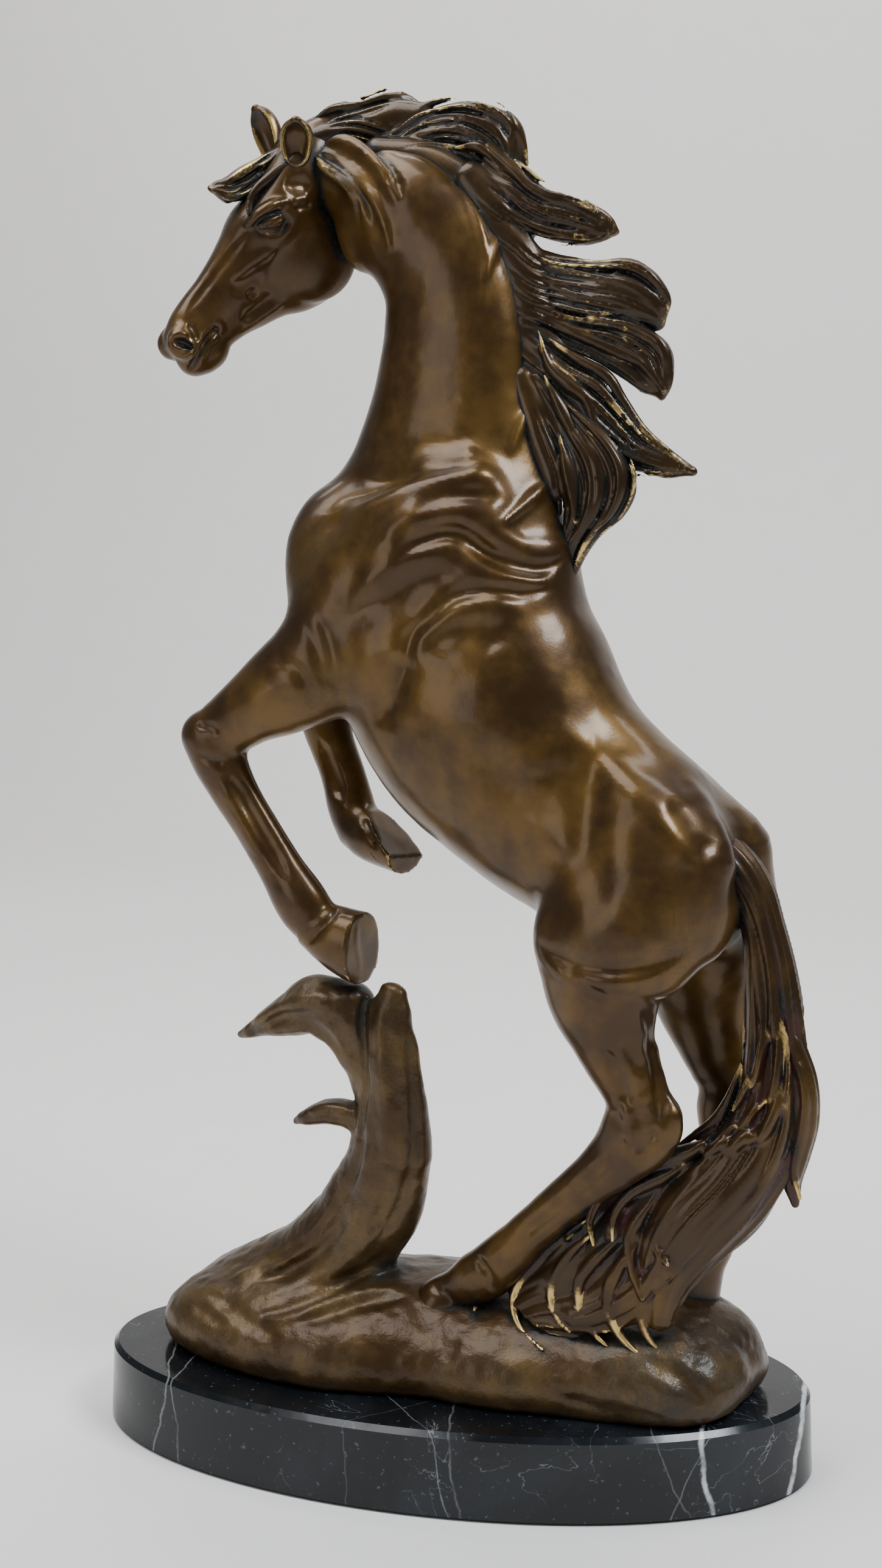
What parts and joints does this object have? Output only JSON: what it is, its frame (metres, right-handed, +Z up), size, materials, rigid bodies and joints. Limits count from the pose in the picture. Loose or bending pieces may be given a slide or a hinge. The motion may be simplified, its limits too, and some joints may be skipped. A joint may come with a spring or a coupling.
{
  "type": "horse statuette",
  "caption": "Bronze rearing horse with a wind-blown mane over a curling wave and rocky ground, bolted to an oval black marble base.",
  "frame": {"origin": "middle of the oval base's underside, on the table", "axes": "+Z up, +X along the base's length towards the horse's tail, the horse faces -X and shows its left side to -Y"},
  "size_m": [0.22, 0.102, 0.4088],
  "materials": {
    "patinated_bronze": "brown patina, satin, with rubbed edges",
    "black_marble": "polished, with white veins",
    "felt": "dark wool felt",
    "fasteners": "zinc plated"
  },
  "bodies": {
    "root": {"ground_mound": "patinated_bronze", "stud_bosses": "patinated_bronze", "wave_stem": "patinated_bronze", "wave_leaf": "patinated_bronze", "wave_crest": "patinated_bronze", "wave_curl": "patinated_bronze", "torso": "patinated_bronze", "hindquarters": "patinated_bronze", "neck": "patinated_bronze", "head": "patinated_bronze", "left_ear": "patinated_bronze", "right_ear": "patinated_bronze", "forelock": "patinated_bronze", "mane_poll_lock": "patinated_bronze", "mane_crest_lock": "patinated_bronze", "mane_upper_lock": "patinated_bronze", "mane_middle_lock": "patinated_bronze", "mane_lower_lock": "patinated_bronze", "mane_withers_lock": "patinated_bronze", "left_foreleg": "patinated_bronze", "right_foreleg": "patinated_bronze", "left_hind_leg": "patinated_bronze", "right_hind_leg": "patinated_bronze", "tail": "patinated_bronze", "tail_outer_lock": "patinated_bronze", "marble_base": "black_marble", "felt_pad": "felt", "mounting_studs": "fasteners", "mounting_washers": "fasteners", "mounting_nuts": "fasteners"}
  },
  "joints": []
}
